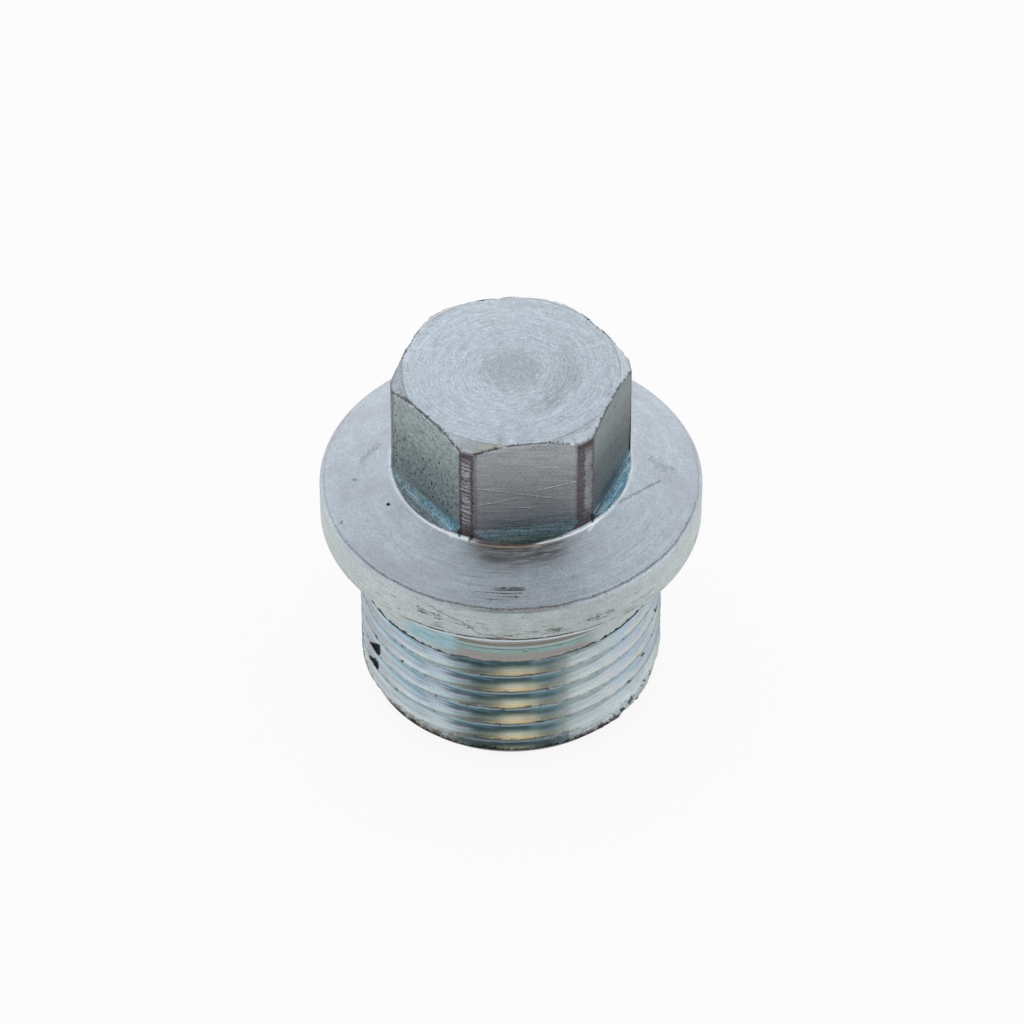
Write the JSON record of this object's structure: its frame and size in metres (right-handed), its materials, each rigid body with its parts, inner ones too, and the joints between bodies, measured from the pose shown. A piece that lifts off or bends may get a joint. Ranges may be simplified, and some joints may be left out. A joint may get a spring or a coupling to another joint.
{
  "type": "drain plug",
  "caption": "Turned steel drain plug with a hexagon head, a wide collar with a coned top and a fine right-hand thread.",
  "frame": {"origin": "centre of the flat end face at the foot of the thread, on which the plug stands", "axes": "+Z along the plug's axis, from the threaded end up to the hexagon head; flats of the hexagon face -Y and +Y"},
  "size_m": [0.0333, 0.0332, 0.0346],
  "materials": {
    "zinc_plated_steel": "turned steel with clear blue zinc plating"
  },
  "bodies": {
    "root": {"drain_plug": "zinc_plated_steel"}
  },
  "joints": []
}
